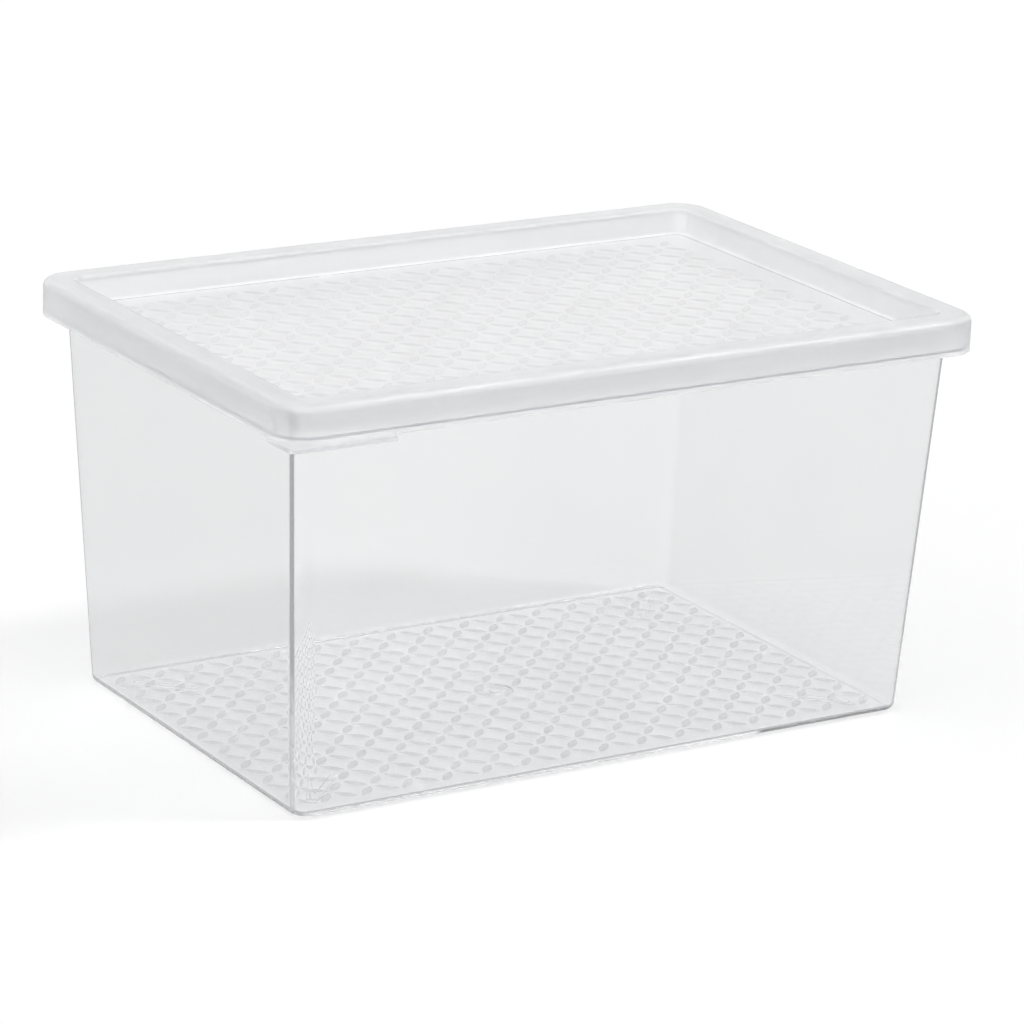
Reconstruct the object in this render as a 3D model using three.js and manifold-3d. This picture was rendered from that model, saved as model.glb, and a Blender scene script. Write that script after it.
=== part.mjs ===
// Clear fridge storage box with a lift-off lid: two mouldings, the box and its lid.
// Millimetres, +Z up. The origin is on the surface the box stands on, under the middle of its floor.
// +X runs along the long side and -Y is the front, where the lid has its lift tab at the left corner.
import * as THREE from 'three';
import { mergeVertices } from 'three/addons/utils/BufferGeometryUtils.js';
import Module from 'manifold-3d';

// Box: outer sizes are taken at the top of the rim, before the rim turns outwards.
const BOX_LENGTH = 283.7;
const BOX_WIDTH = 186.7;
const BOX_HEIGHT = 159.3;
const BOX_WALL = 1.75;
const FLOOR_THICKNESS = 1.8;
const WALL_DRAFT_DEGREES = 3;
const BOX_CORNER_RADIUS = 7;
const BOX_INNER_CORNER_RADIUS = 3.8;
const BASE_EDGE_RADIUS = 2.8;
const FLOOR_INNER_RADIUS = 1.1;

// Rim of the box: a flat flange whose outer edge turns down into a lip.
const RIM_REACH = 6.2;
const RIM_THICKNESS = 1.6;
const RIM_CORNER_RADIUS = 11.5;
const RIM_EDGE_RADIUS = 0.8;
const LIP_HEIGHT = 10.3;
const LIP_THICKNESS = 1.4;

// Feet under the floor: one bar at each corner, laid along the diagonal.
const FOOT_HEIGHT = 0.8;
const FOOT_LENGTH = 27;
const FOOT_WIDTH = 3;
const FOOT_INSET = 24;

// Gate mark: a round groove with a nub left standing in the middle of the floor.
const GATE_RADIUS = 7.5;
const GATE_NUB_RADIUS = 2.2;
const GATE_DEPTH = 0.5;

// Lid: a cap over the rim, with a recessed panel that drops into the mouth of the box.
const LID_THICKNESS = 1.4;
const SKIRT_HEIGHT = 14;
const SKIRT_GAP = 0.55;
const SEAT_GAP = 0.3;
const PLUG_GAP = 0.35;
const RECESS_DEPTH = 10.3;
const RECESS_CORNER_RADIUS = 5;
const RECESS_EDGE_RADIUS = 1.2;
const LID_EDGE_RADIUS = 3;

// Lift tab: a flat ledge at the foot of the skirt, round the front left corner.
const TAB_LENGTH = 42;
const TAB_REACH = 7;
const TAB_SIDE_REACH = 2;
const TAB_THICKNESS = 1.4;
const TAB_END_SLANT = 3;
const TAB_CORNER_RADIUS = 2.5;

// Facets of the round stretches.
const CORNER_STEPS = 9;
const EDGE_STEPS = 4;
const SMALL_EDGE_STEPS = 3;
const GATE_STEPS = 32;
const FOOT_STEPS = 6;

// Depth by which added pieces are sunk into the wall they are moulded with.
const WELD = 0.6;

const QUARTER_TURN = Math.PI / 2;
const draftSlope = Math.tan(THREE.MathUtils.degToRad(WALL_DRAFT_DEGREES));
const baseHeight = FOOT_HEIGHT;
const floorHeight = baseHeight + FLOOR_THICKNESS;
const lidTop = BOX_HEIGHT + SEAT_GAP + LID_THICKNESS;
const skirtBottom = lidTop - SKIRT_HEIGHT;
const skirtReach = RIM_REACH + SKIRT_GAP + LID_THICKNESS;

const wasm = await Module();
wasm.setup();

// A ring is a rounded rectangle: reach is how far its sides lie outside the sides of the box at the rim.
function ring(reach, height, radius) {
  return { reach, height, radius };
}

// A ring on the drafted wall, at a depth measured inwards from the wall's outer face.
function wallRing(depth, height, radius = BOX_CORNER_RADIUS - depth) {
  return ring((height - BOX_HEIGHT) * draftSlope - depth, height, radius);
}

// A ring on the inside of the wall, at a depth measured inwards from the wall's inner face.
function innerRing(depth, height) {
  return wallRing(BOX_WALL + depth, height, BOX_INNER_CORNER_RADIUS - depth);
}

// A ring round the rim, with corners that share their centres with the corners of the rim's outer edge.
function rimRing(reach, height) {
  return ring(reach, height, RIM_CORNER_RADIUS + reach - RIM_REACH);
}

// Rings along a rounded edge: makeRing takes the offset from the edge's centre and the height.
function edgeRings(makeRing, offset, height, radius, startAngle, endAngle, steps) {
  const rings = [];
  for (let step = 0; step <= steps; step += 1) {
    const angle = startAngle + (endAngle - startAngle) * (step / steps);
    rings.push(makeRing(offset + radius * Math.cos(angle), height + radius * Math.sin(angle)));
  }
  return rings;
}

// The points of a ring, anticlockwise from above, starting at the back right corner.
function ringPoints({ reach, height, radius }) {
  const centreX = BOX_LENGTH / 2 + reach - radius;
  const centreY = BOX_WIDTH / 2 + reach - radius;
  const corners = [[1, 1], [-1, 1], [-1, -1], [1, -1]];
  const points = [];
  corners.forEach(([sideX, sideY], corner) => {
    for (let step = 0; step <= CORNER_STEPS; step += 1) {
      const angle = QUARTER_TURN * (corner + step / CORNER_STEPS);
      const x = sideX * centreX + radius * Math.cos(angle);
      const y = sideY * centreY + radius * Math.sin(angle);
      points.push(new THREE.Vector3(x, y, height));
    }
  });
  return points;
}

// A closed shell through the rings in order, with a flat face across the first ring and the last.
function loft(rings) {
  const loops = rings.map(ringPoints);
  const count = loops[0].length;
  const points = loops.flat();
  const index = [];
  for (let loop = 0; loop < loops.length - 1; loop += 1) {
    for (let here = 0; here < count; here += 1) {
      const next = (here + 1) % count;
      const upper = loop * count;
      const lower = upper + count;
      index.push(upper + here, lower + here, lower + next);
      index.push(upper + here, lower + next, upper + next);
    }
  }
  const last = (loops.length - 1) * count;
  for (let here = 1; here < count - 1; here += 1) {
    index.push(0, here, here + 1);
    index.push(last, last + here + 1, last + here);
  }
  const geometry = new THREE.BufferGeometry();
  geometry.setFromPoints(points);
  geometry.setIndex(index);
  return geometry;
}

// A closed mesh as a solid for joining and cutting.
function solidOf(geometry) {
  const bare = geometry.clone();
  bare.deleteAttribute('normal');
  bare.deleteAttribute('uv');
  const merged = mergeVertices(bare, 1e-4);
  return new wasm.Manifold(new wasm.Mesh({
    numProp: 3,
    vertProperties: new Float32Array(merged.getAttribute('position').array),
    triVerts: new Uint32Array(merged.getIndex().array),
  }));
}

function geometryOf(solid) {
  const mesh = solid.getMesh();
  const geometry = new THREE.BufferGeometry();
  geometry.setAttribute('position', new THREE.BufferAttribute(new Float32Array(mesh.vertProperties), 3));
  geometry.setIndex(new THREE.BufferAttribute(new Uint32Array(mesh.triVerts), 1));
  return geometry;
}

// A flat shape drawn in plan, standing between two heights.
function prism(shape, bottom, top, curveSegments) {
  const geometry = new THREE.ExtrudeGeometry(shape, { depth: top - bottom, bevelEnabled: false, curveSegments });
  geometry.translate(0, 0, bottom);
  return geometry;
}

// The box's moulded shell: up the inside, over the rim, round the lip, down the outside and under the floor.
function boxShell() {
  const lipInner = RIM_REACH - LIP_THICKNESS;
  const rimUnderside = BOX_HEIGHT - RIM_THICKNESS;
  const lipBottom = BOX_HEIGHT - LIP_HEIGHT;
  const floorEdge = edgeRings(
    (offset, height) => innerRing(FLOOR_INNER_RADIUS - offset, height),
    0, floorHeight + FLOOR_INNER_RADIUS, FLOOR_INNER_RADIUS, -QUARTER_TURN, 0, SMALL_EDGE_STEPS);
  const mouthEdge = edgeRings(
    (offset, height) => innerRing(-offset, height),
    RIM_EDGE_RADIUS, BOX_HEIGHT - RIM_EDGE_RADIUS, RIM_EDGE_RADIUS,
    2 * QUARTER_TURN, QUARTER_TURN, SMALL_EDGE_STEPS);
  const rimEdge = edgeRings(
    rimRing, RIM_REACH - RIM_EDGE_RADIUS, BOX_HEIGHT - RIM_EDGE_RADIUS, RIM_EDGE_RADIUS,
    QUARTER_TURN, 0, SMALL_EDGE_STEPS);
  const baseEdge = edgeRings(
    (offset, height) => wallRing(BASE_EDGE_RADIUS - offset, height),
    0, baseHeight + BASE_EDGE_RADIUS, BASE_EDGE_RADIUS, 0, -QUARTER_TURN, EDGE_STEPS);
  return loft([
    ...floorEdge,
    ...mouthEdge,
    ...rimEdge,
    rimRing(RIM_REACH, lipBottom),
    rimRing(lipInner, lipBottom),
    rimRing(lipInner, rimUnderside),
    wallRing(0, rimUnderside),
    ...baseEdge,
  ]);
}

// The four feet, bars with round ends that point at the corners of the floor.
function footSolids() {
  const halfRun = (FOOT_LENGTH - FOOT_WIDTH) / 2;
  const outline = new THREE.Shape();
  outline.absarc(halfRun, 0, FOOT_WIDTH / 2, -QUARTER_TURN, QUARTER_TURN);
  outline.absarc(-halfRun, 0, FOOT_WIDTH / 2, QUARTER_TURN, 3 * QUARTER_TURN);
  const baseReach = wallRing(0, baseHeight).reach;
  const centreX = BOX_LENGTH / 2 + baseReach - FOOT_INSET;
  const centreY = BOX_WIDTH / 2 + baseReach - FOOT_INSET;
  const feet = [];
  for (const sideX of [-1, 1]) {
    for (const sideY of [-1, 1]) {
      const bar = prism(outline, 0, baseHeight + WELD, FOOT_STEPS);
      bar.rotateZ(sideX * sideY * QUARTER_TURN / 2);
      bar.translate(sideX * centreX, sideY * centreY, 0);
      feet.push(solidOf(bar));
    }
  }
  return feet;
}

// The ring that is cut into the floor round the gate's nub.
function gateGroove() {
  const bottom = floorHeight - GATE_DEPTH;
  const top = floorHeight + GATE_DEPTH;
  const section = [
    new THREE.Vector2(GATE_NUB_RADIUS, bottom),
    new THREE.Vector2(GATE_RADIUS, bottom),
    new THREE.Vector2(GATE_RADIUS, top),
    new THREE.Vector2(GATE_NUB_RADIUS, top),
    new THREE.Vector2(GATE_NUB_RADIUS, bottom),
  ];
  const groove = new THREE.LatheGeometry(section, GATE_STEPS);
  groove.rotateX(QUARTER_TURN);
  return solidOf(groove);
}

// The lid's moulded shell: across the panel, up the recess, over the rim, down the skirt and back underneath.
function lidShell() {
  const panelTop = lidTop - RECESS_DEPTH;
  const panelBottom = panelTop - LID_THICKNESS;
  const rimUnderside = lidTop - LID_THICKNESS;
  const hiddenDepth = BOX_WALL + PLUG_GAP;
  const shownDepth = hiddenDepth + LID_THICKNESS;
  const recessRing = (depth, height) => {
    return wallRing(depth, height, RECESS_CORNER_RADIUS + shownDepth - depth);
  };
  const panelEdge = edgeRings(
    (offset, height) => recessRing(shownDepth + RECESS_EDGE_RADIUS - offset, height),
    0, panelTop + RECESS_EDGE_RADIUS, RECESS_EDGE_RADIUS, -QUARTER_TURN, 0, SMALL_EDGE_STEPS);
  const recessEdge = edgeRings(
    (offset, height) => recessRing(-offset, height),
    RECESS_EDGE_RADIUS - shownDepth, lidTop - RECESS_EDGE_RADIUS, RECESS_EDGE_RADIUS,
    2 * QUARTER_TURN, QUARTER_TURN, SMALL_EDGE_STEPS);
  const outerEdge = edgeRings(
    rimRing, skirtReach - LID_EDGE_RADIUS, lidTop - LID_EDGE_RADIUS, LID_EDGE_RADIUS,
    QUARTER_TURN, 0, EDGE_STEPS);
  const channelRadius = LID_EDGE_RADIUS - LID_THICKNESS;
  const channelEdge = edgeRings(
    rimRing, skirtReach - LID_EDGE_RADIUS, lidTop - LID_EDGE_RADIUS, channelRadius,
    0, QUARTER_TURN, SMALL_EDGE_STEPS);
  const plugEdge = edgeRings(
    (offset, height) => recessRing(hiddenDepth + RECESS_EDGE_RADIUS - offset, height),
    0, panelBottom + RECESS_EDGE_RADIUS, RECESS_EDGE_RADIUS, 0, -QUARTER_TURN, SMALL_EDGE_STEPS);
  return loft([
    ...panelEdge,
    ...recessEdge,
    ...outerEdge,
    rimRing(skirtReach, skirtBottom),
    rimRing(skirtReach - LID_THICKNESS, skirtBottom),
    ...channelEdge,
    recessRing(hiddenDepth, rimUnderside),
    ...plugEdge,
  ]);
}

// The inside of the skirt, which the tab must not fill.
function skirtCavity() {
  const inner = rimRing(skirtReach - LID_THICKNESS, skirtBottom);
  return solidOf(loft([
    { ...inner, height: skirtBottom + TAB_THICKNESS + WELD },
    { ...inner, height: skirtBottom - WELD },
  ]));
}

// The lift tab in plan: it leaves the left side where the corner starts to turn and ends slanted on the front.
function tabSolid() {
  const left = -BOX_LENGTH / 2 - skirtReach;
  const front = -BOX_WIDTH / 2 - skirtReach;
  const skirtRadius = rimRing(skirtReach, skirtBottom).radius;
  const tabLeft = left - TAB_SIDE_REACH;
  const tabFront = front - TAB_REACH;
  const tabRight = tabLeft + TAB_LENGTH;
  const outline = new THREE.Shape();
  outline.moveTo(left + skirtRadius, front + skirtRadius);
  outline.lineTo(left, front + skirtRadius);
  outline.lineTo(tabLeft, front + skirtRadius - TAB_SIDE_REACH);
  outline.lineTo(tabLeft, tabFront + TAB_CORNER_RADIUS);
  outline.absarc(
    tabLeft + TAB_CORNER_RADIUS, tabFront + TAB_CORNER_RADIUS, TAB_CORNER_RADIUS,
    2 * QUARTER_TURN, 3 * QUARTER_TURN);
  outline.lineTo(tabRight, tabFront);
  outline.lineTo(tabRight + TAB_END_SLANT, front + WELD);
  const plate = solidOf(prism(outline, skirtBottom, skirtBottom + TAB_THICKNESS, SMALL_EDGE_STEPS));
  return plate.subtract(skirtCavity());
}

function boxBody() {
  const joined = footSolids().reduce((body, foot) => body.add(foot), solidOf(boxShell()));
  const material = new THREE.MeshStandardMaterial({
    color: 0xe9ebec, roughness: 0.06, metalness: 0, transparent: true, opacity: 0.3,
  });
  const mesh = new THREE.Mesh(geometryOf(joined.subtract(gateGroove())), material);
  mesh.name = 'box_body';
  return mesh;
}

function lid() {
  const material = new THREE.MeshStandardMaterial({
    color: 0xdfe4ea, roughness: 0.22, metalness: 0, transparent: true, opacity: 0.55,
  });
  const mesh = new THREE.Mesh(geometryOf(solidOf(lidShell()).add(tabSolid())), material);
  mesh.name = 'lid';
  return mesh;
}

const storageBox = new THREE.Group();
storageBox.add(boxBody(), lid());

export default storageBox;
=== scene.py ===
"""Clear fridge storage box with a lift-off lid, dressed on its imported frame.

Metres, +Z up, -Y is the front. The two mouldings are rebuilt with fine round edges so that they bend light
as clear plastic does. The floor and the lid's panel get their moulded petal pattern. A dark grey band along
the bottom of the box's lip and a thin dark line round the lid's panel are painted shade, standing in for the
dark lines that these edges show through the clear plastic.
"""

import math

import bpy
from mathutils import Matrix, Vector


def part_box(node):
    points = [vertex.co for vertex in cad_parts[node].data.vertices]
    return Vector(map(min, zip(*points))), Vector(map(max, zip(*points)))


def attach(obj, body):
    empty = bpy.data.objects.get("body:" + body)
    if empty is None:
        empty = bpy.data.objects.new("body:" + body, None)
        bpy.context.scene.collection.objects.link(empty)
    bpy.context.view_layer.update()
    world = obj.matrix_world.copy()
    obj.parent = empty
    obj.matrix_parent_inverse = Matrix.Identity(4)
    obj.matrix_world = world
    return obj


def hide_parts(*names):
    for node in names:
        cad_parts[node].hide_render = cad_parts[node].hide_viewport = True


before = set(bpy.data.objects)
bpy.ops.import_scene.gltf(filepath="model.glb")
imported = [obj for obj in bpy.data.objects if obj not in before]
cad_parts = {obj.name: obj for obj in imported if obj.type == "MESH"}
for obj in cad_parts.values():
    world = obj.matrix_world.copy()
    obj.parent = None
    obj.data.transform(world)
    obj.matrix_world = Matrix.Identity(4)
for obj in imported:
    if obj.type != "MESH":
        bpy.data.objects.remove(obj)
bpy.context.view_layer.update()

MM = 0.001
QUARTER_TURN = math.pi / 2

# Box: wall and rim, as in the frame.
WALL = 1.75 * MM
FLOOR_THICKNESS = 1.8 * MM
DRAFT_SLOPE = math.tan(math.radians(3))
CORNER_RADIUS = 7 * MM
INNER_CORNER_RADIUS = 3.8 * MM
BASE_EDGE_RADIUS = 2.8 * MM
FLOOR_INNER_RADIUS = 1.1 * MM
RIM_REACH = 6.2 * MM
RIM_THICKNESS = 1.6 * MM
RIM_CORNER_RADIUS = 11.5 * MM
RIM_EDGE_RADIUS = 0.8 * MM
LIP_HEIGHT = 10.3 * MM
LIP_THICKNESS = 1.4 * MM
LIP_EDGE_RADIUS = 0.4 * MM
FOOT_HEIGHT = 0.8 * MM
FOOT_LENGTH = 27 * MM
FOOT_WIDTH = 3 * MM
FOOT_EDGE_RADIUS = 0.7 * MM
FOOT_INSET = 24 * MM
GATE_RADIUS = 7.5 * MM
GATE_NUB_RADIUS = 2.2 * MM
GATE_DEPTH = 0.5 * MM

# Lid: skirt, rim and recessed panel, as in the frame.
LID_THICKNESS = 1.4 * MM
LID_EDGE_RADIUS = 3 * MM
SKIRT_EDGE_RADIUS = 0.4 * MM
PLUG_GAP = 0.35 * MM
RECESS_DEPTH = 10.3 * MM
RECESS_CORNER_RADIUS = 5 * MM
RECESS_EDGE_RADIUS = 1.2 * MM
TAB_LENGTH = 42 * MM
TAB_THICKNESS = 1.4 * MM
TAB_END_SLANT = 3 * MM
TAB_CORNER_RADIUS = 2.5 * MM

# Trim too fine for the frame: the bevel under the floor, and the painted shade: a dark band along the bottom of
# the lip and a dark line round the lid's panel.
BASE_BEVEL_WIDTH = 2.2 * MM
BASE_BEVEL_SLOPE = math.tan(math.radians(3.3))
BEAD_CLEARANCE = 0.02 * MM
LIP_SHADE_HEIGHT = 0.4 * MM
LIP_SHADE_SKIRT_GAP = 0.1 * MM
PANEL_LINE_WIDTH = 0.3 * MM
PANEL_LINE_HEIGHT = 0.05 * MM

# Petal pattern: a square lattice of lens shapes, each leaning one way or the other. Its levels are shares of
# the petal's outline and height.
PETAL_LENGTH = 9.7 * MM
PETAL_HALF_WIDTH = 1.75 * MM
PETAL_HEIGHT = 0.15 * MM
PETAL_CLEARANCE = 0.01 * MM
PETAL_LEVELS = ((1, 0), (0.85, 0.7), (0.6, 1))
FLOOR_PITCH = 8.545 * MM
FLOOR_PETALS = (30, 18)
LID_PITCH = 9.02 * MM
LID_PETALS = (28, 18)

# Facets of the round stretches, how near to a round edge its flat neighbours are held flat, the flat faces
# that close the shells, and the angles in degrees from which an edge shows.
CORNER_STEPS = 20
EDGE_STEPS = 8
FINE_EDGE_STEPS = 4
ARC_STEPS = 10
GATE_STEPS = 64
FLAT_HOLD = 0.25 * MM
CAP_INSET = 4 * MM
CAP_CORNER_RADIUS = 2 * MM
SHELL_EDGE_ANGLE = 35
PETAL_EDGE_ANGLE = 60

# Plastics: how they bend light, their gloss, the size of stains and ripples, and the stretch of the noise that
# makes them.
PLASTIC_IOR = 1.5
GLOSS_ROUGHNESS = 0.04
FLOW_STAIN = 60 * MM
FLOW_RIPPLE = 25 * MM
FROST_STAIN = 40 * MM
FROST_GRAIN = 0.25 * MM
FROST_ROUGHNESS = (0.45, 0.65)
RIPPLE_HEIGHT = 0.01 * MM
NOISE_RANGE = (0.35, 0.65)

body_low, body_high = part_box("box_body")
lid_low, lid_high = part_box("lid")
half_length = body_high.x - RIM_REACH
half_width = body_high.y - RIM_REACH
box_top = body_high.z
base_height = body_low.z + FOOT_HEIGHT
floor_height = base_height + FLOOR_THICKNESS
lid_top = lid_high.z
skirt_bottom = lid_low.z
skirt_reach = lid_high.x - half_length
panel_top = lid_top - RECESS_DEPTH
plug_depth = WALL + PLUG_GAP
recess_wall_depth = plug_depth + LID_THICKNESS


def wall_ring(depth, height, radius=None):
    """A ring on the drafted wall, at a depth inwards from the wall's outer face."""
    if radius is None:
        radius = CORNER_RADIUS - depth
    return (height - box_top) * DRAFT_SLOPE - depth, height, radius


def inner_ring(depth, height):
    """A ring on the inside of the wall, at a depth inwards from the wall's inner face."""
    return wall_ring(WALL + depth, height, INNER_CORNER_RADIUS - depth)


def rim_ring(reach, height):
    """A ring round the rim, whose corners share their centres with the rim's outer edge."""
    return reach, height, RIM_CORNER_RADIUS + reach - RIM_REACH


def recess_ring(depth, height):
    """A ring on the lid's recess, at a depth inwards from the outer face of the box's wall."""
    return wall_ring(depth, height, RECESS_CORNER_RADIUS + recess_wall_depth - depth)


def edge_rings(make_ring, offset, height, radius, start, end, steps=EDGE_STEPS):
    """Rings along a rounded edge. Offset and height are its centre's."""
    rings = []
    for step in range(steps + 1):
        angle = start + (end - start) * step / steps
        rings.append(make_ring(offset + radius * math.cos(angle), height + radius * math.sin(angle)))
    return rings


def with_held_flats(rings):
    """The rings with two more in each long stretch, so that round edges don't shade into flat walls."""
    held = [rings[0]]
    for before, after in zip(rings, rings[1:]):
        run = math.hypot(after[0] - before[0], after[1] - before[1])
        if run > 3 * FLAT_HOLD:
            for share in (FLAT_HOLD / run, 1 - FLAT_HOLD / run):
                held.append(tuple(a + (b - a) * share for a, b in zip(before, after)))
        held.append(after)
    return held


def ring_points(reach, height, radius):
    """The points of a ring, anticlockwise from above, with held flats beside each corner."""
    centre_x = half_length + reach - radius
    centre_y = half_width + reach - radius
    points = []
    for corner, (side_x, side_y) in enumerate(((1, 1), (-1, 1), (-1, -1), (1, -1))):
        centre = Vector((side_x * centre_x, side_y * centre_y, height))
        for step in range(-1, CORNER_STEPS + 2):
            angle = QUARTER_TURN * (corner + min(max(step, 0), CORNER_STEPS) / CORNER_STEPS)
            across = Vector((math.cos(angle), math.sin(angle), 0))
            along = Vector((-math.sin(angle), math.cos(angle), 0))
            beyond = min(step, 0) + max(step - CORNER_STEPS, 0)
            points.append(centre + across * radius + along * (beyond * FLAT_HOLD))
    return points


def loft(name, rings):
    """A closed shell through the rings in order, with a flat face across the first ring and the last."""
    loops = [ring_points(*ring) for ring in with_held_flats(rings)]
    count = len(loops[0])
    points = [point for loop in loops for point in loop]
    faces = []
    for loop in range(len(loops) - 1):
        upper = loop * count
        lower = upper + count
        for here in range(count):
            following = (here + 1) % count
            faces.append((upper + here, lower + here, lower + following, upper + following))
    last = (len(loops) - 1) * count
    faces.append(tuple(range(count)))
    faces.append(tuple(last + here for here in reversed(range(count))))
    return new_object(name, points, faces)


def new_object(name, points, faces):
    """A mesh object in the scene."""
    mesh = bpy.data.meshes.new(name)
    mesh.from_pydata([tuple(point) for point in points], [], faces)
    mesh.validate()
    made = bpy.data.objects.new(name, mesh)
    bpy.context.scene.collection.objects.link(made)
    return made


def stacked_faces(count, levels, first=0):
    """The faces of a closed stack of anticlockwise outlines of the same count, from the bottom up."""
    top = first + (levels - 1) * count
    faces = [tuple(first + here for here in reversed(range(count))), tuple(range(top, top + count))]
    for low in range(first, top, count):
        for here in range(count):
            following = (here + 1) % count
            faces.append((low + here, low + following, low + count + following, low + count + here))
    return faces


def prism(name, outline, bottom, top):
    """A plan outline, anticlockwise, standing between two heights."""
    points = [(x, y, bottom) for x, y in outline] + [(x, y, top) for x, y in outline]
    return new_object(name, points, stacked_faces(len(outline), 2))


def arc(centre_x, centre_y, radius, start, end, steps):
    """Points of a plan outline along an arc."""
    angles = [start + (end - start) * step / steps for step in range(steps + 1)]
    return [(centre_x + radius * math.cos(a), centre_y + radius * math.sin(a)) for a in angles]


def combine(target, tool, operation):
    """Joins or cuts the tool into the target's mesh and removes the tool."""
    modifier = target.modifiers.new("combine", "BOOLEAN")
    modifier.operation = operation
    modifier.solver = "EXACT"
    modifier.object = tool
    depsgraph = bpy.context.evaluated_depsgraph_get()
    mesh = bpy.data.meshes.new_from_object(target.evaluated_get(depsgraph))
    target.modifiers.clear()
    old = target.data
    target.data = mesh
    mesh.name = old.name
    bpy.data.meshes.remove(old)
    bpy.data.objects.remove(tool)


def shade_by_angle(made, degrees):
    """Smooth shading, apart from edges sharper than that angle."""
    made.data.shade_smooth()
    made.data.set_sharp_from_angle(angle=math.radians(degrees))


def box_shell():
    """The box: up the inside, over the rim, round the lip, down the outside and under the floor."""
    lip_inner = RIM_REACH - LIP_THICKNESS
    rim_underside = box_top - RIM_THICKNESS
    lip_bottom = box_top - LIP_HEIGHT
    floor_edge = edge_rings(
        lambda offset, height: inner_ring(FLOOR_INNER_RADIUS - offset, height),
        0, floor_height + FLOOR_INNER_RADIUS, FLOOR_INNER_RADIUS, -QUARTER_TURN, 0)
    mouth_edge = edge_rings(
        lambda offset, height: inner_ring(-offset, height),
        RIM_EDGE_RADIUS, box_top - RIM_EDGE_RADIUS, RIM_EDGE_RADIUS, 2 * QUARTER_TURN, QUARTER_TURN)
    rim_edge = edge_rings(
        rim_ring, RIM_REACH - RIM_EDGE_RADIUS, box_top - RIM_EDGE_RADIUS, RIM_EDGE_RADIUS, QUARTER_TURN, 0)
    lip_outer_edge = edge_rings(
        rim_ring, RIM_REACH - LIP_EDGE_RADIUS, lip_bottom + LIP_EDGE_RADIUS, LIP_EDGE_RADIUS,
        0, -QUARTER_TURN, FINE_EDGE_STEPS)
    lip_inner_edge = edge_rings(
        rim_ring, lip_inner + LIP_EDGE_RADIUS, lip_bottom + LIP_EDGE_RADIUS, LIP_EDGE_RADIUS,
        -QUARTER_TURN, -2 * QUARTER_TURN, FINE_EDGE_STEPS)
    base_edge = edge_rings(
        lambda offset, height: wall_ring(BASE_EDGE_RADIUS - offset, height),
        0, base_height + BASE_EDGE_RADIUS, BASE_EDGE_RADIUS, 0, -QUARTER_TURN)
    inner_cap = wall_ring(WALL + FLOOR_INNER_RADIUS + CAP_INSET, floor_height, CAP_CORNER_RADIUS)
    underside_height = base_height + BASE_BEVEL_WIDTH * BASE_BEVEL_SLOPE
    base_bevel = wall_ring(BASE_EDGE_RADIUS + BASE_BEVEL_WIDTH, underside_height)
    base_cap = wall_ring(BASE_EDGE_RADIUS + CAP_INSET, underside_height, CAP_CORNER_RADIUS)
    return loft("box_shell", [
        inner_cap, *floor_edge, *mouth_edge, *rim_edge, *lip_outer_edge, *lip_inner_edge,
        rim_ring(lip_inner, rim_underside), wall_ring(0, rim_underside), *base_edge, base_bevel, base_cap,
    ])


def bead(name, make_ring, outer, inner, bottom, top):
    """A thin band with a square section, between two offsets and two heights."""
    corners = ((outer, top), (outer, bottom), (inner, bottom), (inner, top))
    loops = [ring_points(*make_ring(*corner)) for corner in corners]
    count = len(loops[0])
    faces = []
    for loop in range(4):
        here_loop, next_loop = loop * count, (loop + 1) % 4 * count
        for here in range(count):
            following = (here + 1) % count
            faces.append((here_loop + here, next_loop + here, next_loop + following, here_loop + following))
    return new_object(name, [point for loop in loops for point in loop], faces)


def make_lip_painted_shade():
    """A dark grey band along the bottom of the lip, just inside the lid's skirt: painted shade for the dark
    line that the lip's lower edge shows through the skirt.
    """
    top = box_top - LIP_HEIGHT - BEAD_CLEARANCE
    outer = skirt_reach - LID_THICKNESS - LIP_SHADE_SKIRT_GAP
    inner = RIM_REACH - LIP_THICKNESS + LIP_EDGE_RADIUS
    return bead("lip_painted_shade", rim_ring, outer, inner, top - LIP_SHADE_HEIGHT, top)


def make_panel_painted_shade():
    """The thin dark line of painted shade round the lid's panel, where the rounding up to the recess's wall
    starts.
    """
    outer = recess_wall_depth + RECESS_EDGE_RADIUS
    bottom = panel_top + BEAD_CLEARANCE
    return bead(
        "panel_painted_shade", recess_ring, outer, outer + PANEL_LINE_WIDTH, bottom, bottom + PANEL_LINE_HEIGHT)


def foot(side_x, side_y):
    """One bar with round ends and a rounded sole under the floor, pointing at a corner."""
    run = (FOOT_LENGTH - FOOT_WIDTH) / 2
    levels = []
    for step in range(EDGE_STEPS + 1):
        angle = QUARTER_TURN * step / EDGE_STEPS
        radius = FOOT_WIDTH / 2 - FOOT_EDGE_RADIUS * (1 - math.sin(angle))
        levels.append((radius, body_low.z + FOOT_EDGE_RADIUS * (1 - math.cos(angle))))
    levels.append((FOOT_WIDTH / 2, base_height + FOOT_HEIGHT / 2))
    points = []
    for radius, height in levels:
        outline = arc(run, 0, radius, -QUARTER_TURN, QUARTER_TURN, ARC_STEPS)
        outline += arc(-run, 0, radius, QUARTER_TURN, 3 * QUARTER_TURN, ARC_STEPS)
        points += [(x, y, height) for x, y in outline]
    bar = new_object("foot", points, stacked_faces(len(outline), len(levels)))
    reach = wall_ring(0, base_height)[0] - FOOT_INSET
    place = Vector((side_x * (half_length + reach), side_y * (half_width + reach), 0))
    turn = Matrix.Rotation(side_x * side_y * QUARTER_TURN / 2, 4, "Z")
    bar.data.transform(Matrix.Translation(place) @ turn)
    return bar


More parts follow.
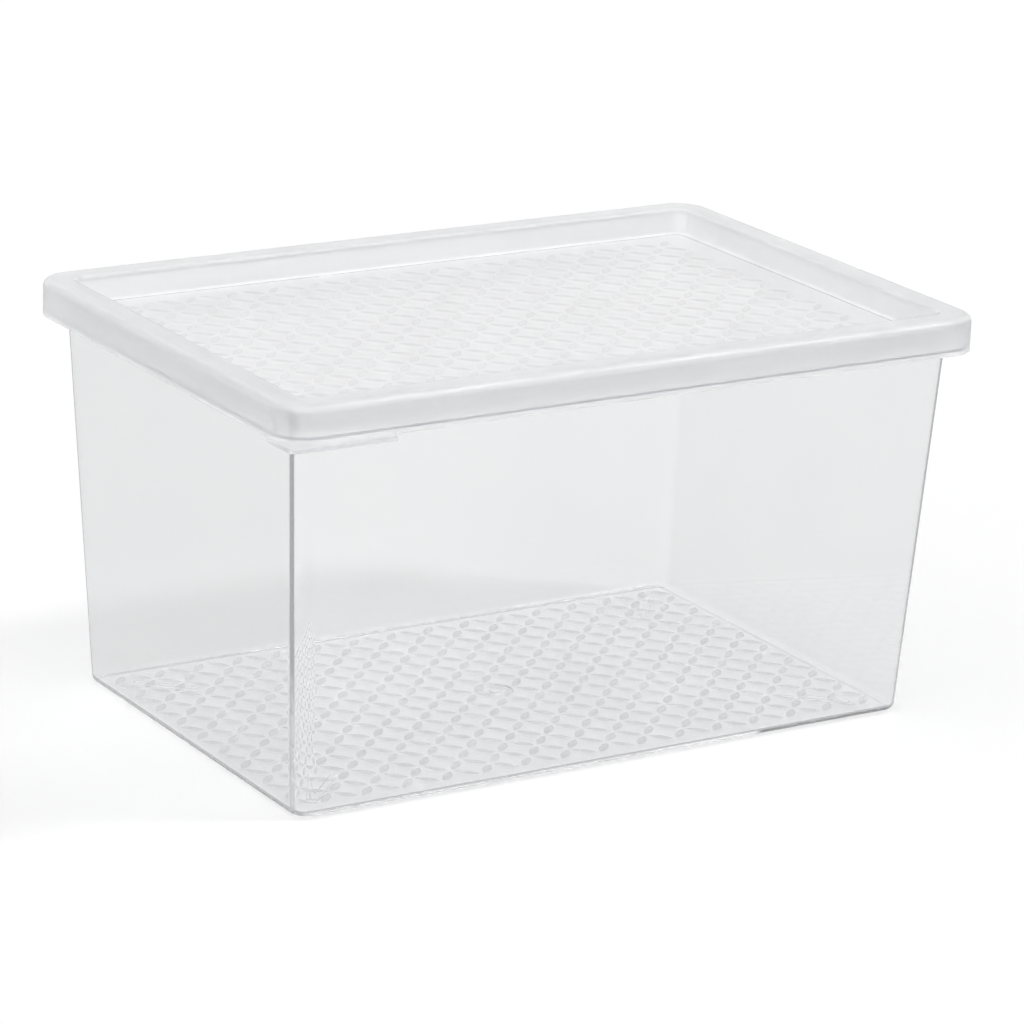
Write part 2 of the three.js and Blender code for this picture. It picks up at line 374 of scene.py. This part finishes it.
def gate_groove():
    """The ring cut into the floor round the gate's nub."""
    section = [
        (GATE_NUB_RADIUS, floor_height - GATE_DEPTH), (GATE_RADIUS, floor_height - GATE_DEPTH),
        (GATE_RADIUS, floor_height + GATE_DEPTH), (GATE_NUB_RADIUS, floor_height + GATE_DEPTH),
    ]
    points = []
    faces = []
    for step in range(GATE_STEPS):
        angle = 2 * math.pi * step / GATE_STEPS
        points += [(r * math.cos(angle), r * math.sin(angle), z) for r, z in section]
        for side in range(4):
            here, beside = 4 * step, 4 * ((step + 1) % GATE_STEPS)
            following = (side + 1) % 4
            faces.append((here + side, beside + side, beside + following, here + following))
    return new_object("gate_groove", points, faces)


def lid_shell():
    """The lid: across the panel, up the recess, over the rim, down the skirt and back underneath."""
    panel_bottom = panel_top - LID_THICKNESS
    panel_edge = edge_rings(
        lambda offset, height: recess_ring(recess_wall_depth + RECESS_EDGE_RADIUS - offset, height),
        0, panel_top + RECESS_EDGE_RADIUS, RECESS_EDGE_RADIUS, -QUARTER_TURN, 0)
    recess_edge = edge_rings(
        lambda offset, height: recess_ring(-offset, height),
        RECESS_EDGE_RADIUS - recess_wall_depth, lid_top - RECESS_EDGE_RADIUS, RECESS_EDGE_RADIUS,
        2 * QUARTER_TURN, QUARTER_TURN)
    outer_centre = skirt_reach - LID_EDGE_RADIUS, lid_top - LID_EDGE_RADIUS
    outer_edge = edge_rings(rim_ring, *outer_centre, LID_EDGE_RADIUS, QUARTER_TURN, 0)
    skirt_outer_edge = edge_rings(
        rim_ring, skirt_reach - SKIRT_EDGE_RADIUS, skirt_bottom + SKIRT_EDGE_RADIUS, SKIRT_EDGE_RADIUS,
        0, -QUARTER_TURN, FINE_EDGE_STEPS)
    skirt_inner_edge = edge_rings(
        rim_ring, skirt_reach - LID_THICKNESS + SKIRT_EDGE_RADIUS, skirt_bottom + SKIRT_EDGE_RADIUS,
        SKIRT_EDGE_RADIUS, -QUARTER_TURN, -2 * QUARTER_TURN, FINE_EDGE_STEPS)
    channel_edge = edge_rings(rim_ring, *outer_centre, LID_EDGE_RADIUS - LID_THICKNESS, 0, QUARTER_TURN)
    plug_edge = edge_rings(
        lambda offset, height: recess_ring(plug_depth + RECESS_EDGE_RADIUS - offset, height),
        0, panel_bottom + RECESS_EDGE_RADIUS, RECESS_EDGE_RADIUS, 0, -QUARTER_TURN)
    return loft("lid_shell", [
        recess_ring(recess_wall_depth + RECESS_EDGE_RADIUS + CAP_INSET / 2, panel_top),
        *panel_edge, *recess_edge, *outer_edge, *skirt_outer_edge, *skirt_inner_edge, *channel_edge,
        recess_ring(plug_depth, lid_top - LID_THICKNESS), *plug_edge,
        recess_ring(plug_depth + RECESS_EDGE_RADIUS + CAP_INSET / 2, panel_bottom),
    ])


def lift_tab():
    """The flat ledge round the lid's front left corner, whose inner edge lies inside the skirt."""
    left = -half_length - skirt_reach
    front = -half_width - skirt_reach
    radius = rim_ring(skirt_reach, skirt_bottom)[2]
    tab_left, tab_front = lid_low.x, lid_low.y
    tab_right = tab_left + TAB_LENGTH
    weld = LID_THICKNESS / 2
    outline = [(tab_left, front + radius - (left - tab_left))]
    outline += arc(
        tab_left + TAB_CORNER_RADIUS, tab_front + TAB_CORNER_RADIUS, TAB_CORNER_RADIUS,
        2 * QUARTER_TURN, 3 * QUARTER_TURN, ARC_STEPS)
    outline += [(tab_right, tab_front), (tab_right + TAB_END_SLANT, front + weld)]
    outline += arc(
        left + radius, front + radius, radius - weld, 3 * QUARTER_TURN, 2 * QUARTER_TURN, CORNER_STEPS)
    return prism("lift_tab", outline, skirt_bottom, skirt_bottom + TAB_THICKNESS)


def petal_field(name, counts, pitch, height):
    """Lens-shaped pads on a square lattice, leaning left and right by turns, on a flat at that height."""
    half_arc = 2 * math.atan(2 * PETAL_HALF_WIDTH / PETAL_LENGTH)
    arc_radius = PETAL_LENGTH / 2 / math.sin(half_arc)
    rim = []
    for side in (1, -1):
        for step in range(ARC_STEPS):
            angle = half_arc * (2 * step / ARC_STEPS - 1)
            bulge = arc_radius * (math.cos(angle) - math.cos(half_arc))
            rim.append((side * arc_radius * math.sin(angle), side * -bulge))
    bottom = height + PETAL_CLEARANCE
    levels = [(share, bottom + rise * PETAL_HEIGHT) for share, rise in PETAL_LEVELS]
    points = []
    faces = []
    for i in range(counts[0]):
        for j in range(counts[1]):
            along, across = i + 0.5 - counts[0] / 2, j + 0.5 - counts[1] / 2
            centre = Vector((along * pitch, across * pitch, 0))
            lean = QUARTER_TURN / 2 if (i + j - sum(counts) // 2) % 2 else -QUARTER_TURN / 2
            turn = Matrix.Rotation(lean, 3, "Z")
            faces += stacked_faces(len(rim), len(levels), len(points))
            for share, z in levels:
                points += [centre + turn @ Vector((x * share, y * share, z)) for x, y in rim]
    return new_object(name, points, faces)


def material(name):
    """A new material and its empty node tree."""
    made = bpy.data.materials.new(name)
    made.use_nodes = True
    tree = made.node_tree
    tree.nodes.clear()
    return made, tree


def node(tree, kind, **values):
    """A new node with those values on its sockets."""
    made = tree.nodes.new(kind)
    for socket, value in values.items():
        made.inputs[socket.replace("_", " ")].default_value = value
    return made


def mottle(tree, grain, low, high, detail=3):
    """A socket of noise with features of that size, mostly between two numbers or two colours."""
    place = tree.nodes.new("ShaderNodeTexCoord")
    noise = node(tree, "ShaderNodeTexNoise", Scale=1 / grain, Detail=detail)
    spread = node(tree, "ShaderNodeMapRange", From_Min=NOISE_RANGE[0], From_Max=NOISE_RANGE[1])
    tree.links.new(place.outputs["Object"], noise.inputs["Vector"])
    tree.links.new(noise.outputs[0], spread.inputs["Value"])
    if isinstance(low, (int, float)):
        spread.inputs["To Min"].default_value = low
        spread.inputs["To Max"].default_value = high
        return spread.outputs["Result"]
    ramp = tree.nodes.new("ShaderNodeValToRGB")
    ramp.color_ramp.elements[0].color = (*low, 1)
    ramp.color_ramp.elements[1].color = (*high, 1)
    tree.links.new(spread.outputs["Result"], ramp.inputs[0])
    return ramp.outputs["Color"]


def finish_surface(tree, shader, colours, roughness, stain, ripple, ripple_height):
    """Gives the shader its mottled colour and roughness, and ripples of that spacing and height."""
    output = tree.nodes.new("ShaderNodeOutputMaterial")
    bump = node(tree, "ShaderNodeBump", Strength=1, Distance=ripple_height)
    tree.links.new(mottle(tree, ripple, 0, 1), bump.inputs["Height"])
    tree.links.new(bump.outputs[0], shader.inputs["Normal"])
    tree.links.new(mottle(tree, stain, *colours), shader.inputs["Base Color"])
    tree.links.new(mottle(tree, stain / 3, *roughness), shader.inputs["Roughness"])
    tree.links.new(shader.outputs[0], output.inputs["Surface"])
    return output


def clear_plastic(name, colours, roughness, absorbed, density, clear=1, gloss=0):
    """A see-through moulding with flow ripples, haze, a tint in its depth, some milkiness and a gloss coat."""
    made, tree = material(name)
    shader = node(
        tree, "ShaderNodeBsdfPrincipled", IOR=PLASTIC_IOR, Transmission_Weight=clear, Coat_Weight=gloss,
        Coat_Roughness=GLOSS_ROUGHNESS)
    output = finish_surface(tree, shader, colours, roughness, FLOW_STAIN, FLOW_RIPPLE, RIPPLE_HEIGHT)
    volume = node(tree, "ShaderNodeVolumeAbsorption", Color=(*absorbed, 1), Density=density)
    tree.links.new(volume.outputs[0], output.inputs["Volume"])
    return made


def frosted_plastic(name, colours, alpha):
    """The fine-grained matt skin of a moulded pad, or of a dark band of painted shade."""
    made, tree = material(name)
    shader = node(tree, "ShaderNodeBsdfPrincipled", Alpha=alpha)
    finish_surface(tree, shader, colours, FROST_ROUGHNESS, FROST_STAIN, FROST_GRAIN, RIPPLE_HEIGHT)
    return made


def linked_math(tree, operation, first, second):
    """A Math node of two sockets or numbers."""
    made = tree.nodes.new("ShaderNodeMath")
    made.operation = operation
    for socket, value in zip(made.inputs, (first, second)):
        if isinstance(value, (int, float)):
            socket.default_value = value
        else:
            tree.links.new(value, socket)
    return made.outputs[0]


def unscattered(tree, light_path):
    """A socket that is 1 for light that no matt surface has scattered on its way to the camera."""
    return linked_math(tree, "LESS_THAN", light_path.outputs["Diffuse Depth"], 0.5)


def mirrored(tree, light_path):
    """A socket that is 1 for unscattered light that was reflected on its way to the camera."""
    reflected = linked_math(tree, "GREATER_THAN", light_path.outputs["Glossy Depth"], 0.5)
    return linked_math(tree, "MULTIPLY", reflected, unscattered(tree, light_path))


# The pieces, each on its body.
box = box_shell()
for side_x in (-1, 1):
    for side_y in (-1, 1):
        combine(box, foot(side_x, side_y), "UNION")
combine(box, gate_groove(), "DIFFERENCE")
shade_by_angle(box, SHELL_EDGE_ANGLE)

lid = lid_shell()
combine(lid, lift_tab(), "UNION")
shade_by_angle(lid, SHELL_EDGE_ANGLE)

floor_petals = petal_field("floor_petals", FLOOR_PETALS, FLOOR_PITCH, floor_height)
shade_by_angle(floor_petals, PETAL_EDGE_ANGLE)
# A dark band of painted shade along the bottom of the lip, seen through the lid's skirt.
lip_painted_shade = make_lip_painted_shade()
lid_petals = petal_field("lid_petals", LID_PETALS, LID_PITCH, panel_top)
shade_by_angle(lid_petals, PETAL_EDGE_ANGLE)
# A thin dark line of painted shade round the lid's panel.
panel_painted_shade = make_panel_painted_shade()

box.data.materials.clear()
box.data.materials.append(clear_plastic(
    "clear_plastic", colours=((0.947, 0.95, 0.955), (0.957, 0.959, 0.962)), roughness=(0, 0.015),
    absorbed=(0.5, 0.51, 0.52), density=2.0))
lid.data.materials.clear()
lid.data.materials.append(clear_plastic(
    "bluish_plastic", colours=((0.987, 0.991, 0.996), (0.993, 0.996, 0.999)), roughness=(0.44, 0.5),
    absorbed=(0.4, 0.47, 0.56), density=0.7, clear=0.985, gloss=0.25))
floor_petals.data.materials.append(
    frosted_plastic("floor_frosting", colours=((0.66, 0.665, 0.67), (0.72, 0.722, 0.725)), alpha=0.2))
# Dark grey and partly see-through: the colour of the painted shade lines along the lip and round the panel.
painted_shade_frosting = frosted_plastic("painted_shade_frosting", colours=((0.36, 0.38, 0.42), (0.44, 0.46, 0.5)), alpha=0.6)
lip_painted_shade.data.materials.append(painted_shade_frosting)
panel_painted_shade.data.materials.append(painted_shade_frosting)
lid_petals.data.materials.append(
    frosted_plastic("lid_frosting", colours=((0.42, 0.44, 0.46), (0.5, 0.515, 0.53)), alpha=0.065))

for piece, body, slot in (
    (box, "box", "clear_plastic"),
    (floor_petals, "box", "clear_plastic"),
    (lip_painted_shade, "box", "clear_plastic"),
    (lid, "cover", "bluish_plastic"),
    (lid_petals, "cover", "bluish_plastic"),
    (panel_painted_shade, "cover", "bluish_plastic"),
):
    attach(piece, body)
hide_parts("box_body")
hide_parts("lid")

# Floor: white straight and through the plastic, with the object's shadow, and darker in reflections.
WHITE = (1, 1, 1, 1)
GROUND_REACH = 8
GROUND_DROP = 0.05 * MM
GROUND_GREY = 0.8
GROUND_GLOW = 0.2
GLOSSY_LIGHT = 0.55
ground_corners = [(x * GROUND_REACH, y * GROUND_REACH) for x, y in ((-1, -1), (1, -1), (1, 1), (-1, 1))]
ground = new_object("ground", [(x, y, body_low.z - GROUND_DROP) for x, y in ground_corners], [(0, 1, 2, 3)])
ground_material, tree = material("ground")
glossy = mirrored(tree, tree.nodes.new("ShaderNodeLightPath"))
diffuse = node(tree, "ShaderNodeBsdfDiffuse", Color=(GROUND_GREY, GROUND_GREY, GROUND_GREY, 1))
glow = node(tree, "ShaderNodeEmission", Color=WHITE, Strength=GROUND_GLOW)
straight_look = tree.nodes.new("ShaderNodeAddShader")
glossy_look = node(tree, "ShaderNodeEmission", Color=WHITE, Strength=GLOSSY_LIGHT)
look = tree.nodes.new("ShaderNodeMixShader")
output = tree.nodes.new("ShaderNodeOutputMaterial")
tree.links.new(glow.outputs[0], straight_look.inputs[0])
tree.links.new(diffuse.outputs[0], straight_look.inputs[1])
tree.links.new(glossy, look.inputs[0])
tree.links.new(straight_look.outputs[0], look.inputs[1])
tree.links.new(glossy_look.outputs[0], look.inputs[2])
tree.links.new(look.outputs[0], output.inputs["Surface"])
ground.data.materials.append(ground_material)

# World: white to the camera and in reflections, darker overhead through the plastic, and dimmer as a lamp.
WORLD_LIGHT = 0.48
CEILING_LIGHT = 0.8
CEILING_RANGE = (0.3, 0.8)
world = bpy.data.worlds.new("studio")
world.use_nodes = True
bpy.context.scene.world = world
tree = world.node_tree
tree.nodes.clear()
light_path = tree.nodes.new("ShaderNodeLightPath")
seen = unscattered(tree, light_path)
white = linked_math(tree, "ADD", light_path.outputs["Is Camera Ray"], mirrored(tree, light_path))
place = tree.nodes.new("ShaderNodeTexCoord")
split = tree.nodes.new("ShaderNodeSeparateXYZ")
tree.links.new(place.outputs["Generated"], split.inputs[0])
ceiling = node(
    tree, "ShaderNodeMapRange", From_Min=CEILING_RANGE[0], From_Max=CEILING_RANGE[1], To_Min=1.0,
    To_Max=CEILING_LIGHT)
tree.links.new(split.outputs["Z"], ceiling.inputs["Value"])
look_light = linked_math(tree, "MULTIPLY", linked_math(tree, "MAXIMUM", ceiling.outputs["Result"], white), seen)
lamp_light = linked_math(tree, "MULTIPLY", linked_math(tree, "SUBTRACT", 1, seen), WORLD_LIGHT)
strength = linked_math(tree, "ADD", look_light, lamp_light)
background = node(tree, "ShaderNodeBackground", Color=WHITE)
tree.links.new(strength, background.inputs["Strength"])
output = tree.nodes.new("ShaderNodeOutputWorld")
tree.links.new(background.outputs[0], output.inputs["Surface"])

# Lamps, with their angles in degrees. Azimuth 0 is the front.
LAMP_DISTANCE = 3


def soft_sun(name, azimuth, elevation, share, spread):
    """A broad lamp far away. Share is how much of a level white surface's light it gives."""
    data = bpy.data.lights.new(name, "SUN")
    data.angle = math.radians(spread)
    data.energy = share * math.pi / math.sin(math.radians(elevation))
    lamp = bpy.data.objects.new(name, data)
    a, e = math.radians(azimuth), math.radians(elevation)
    lamp.rotation_mode = "QUATERNION"
    place = Vector((math.sin(a) * math.cos(e), -math.cos(a) * math.cos(e), math.sin(e)))
    lamp.rotation_quaternion = (-place).to_track_quat("-Z", "Y")
    lamp.location = place * LAMP_DISTANCE
    bpy.context.scene.collection.objects.link(lamp)


soft_sun("key", azimuth=-70, elevation=55, share=0.36, spread=90)
soft_sun("fill", azimuth=60, elevation=52, share=0.16, spread=11)

# Camera, at the photograph's angle.
CAMERA_PLACE = Vector((-0.895687, -1.442882, 0.609215))
CAMERA_YAW = math.radians(-31.994)
CAMERA_PITCH = math.radians(17.458)
CAMERA_ROLL = math.radians(2.054)
CAMERA_LENS = 162.98
CAMERA_SENSOR = 36
CAMERA_CLIP_END = 50
back = Vector((
    math.sin(CAMERA_YAW) * math.cos(CAMERA_PITCH),
    -math.cos(CAMERA_YAW) * math.cos(CAMERA_PITCH),
    math.sin(CAMERA_PITCH),
))
right = (-back).cross(Vector((0, 0, 1))).normalized()
upright = Matrix((right, right.cross(-back), back)).transposed()
camera_data = bpy.data.cameras.new("camera")
camera_data.lens = CAMERA_LENS
camera_data.sensor_width = CAMERA_SENSOR
camera_data.clip_end = CAMERA_CLIP_END
camera = bpy.data.objects.new("camera", camera_data)
turned = upright @ Matrix.Rotation(CAMERA_ROLL, 3, "Z")
camera.matrix_world = Matrix.Translation(CAMERA_PLACE) @ turned.to_4x4()
bpy.context.scene.collection.objects.link(camera)
bpy.context.scene.camera = camera

# Light paths: light runs a long way inside the clear walls, and petals and beads let some through.
GLASS_BOUNCES = 400
DIFFUSE_BOUNCES = 12
ALPHA_BOUNCES = 48
bpy.context.scene.view_settings.view_transform = "Standard"
cycles = bpy.context.scene.cycles
cycles.max_bounces = GLASS_BOUNCES
cycles.transmission_bounces = GLASS_BOUNCES
cycles.glossy_bounces = GLASS_BOUNCES
cycles.diffuse_bounces = DIFFUSE_BOUNCES
cycles.transparent_max_bounces = ALPHA_BOUNCES
cycles.blur_glossy = 0
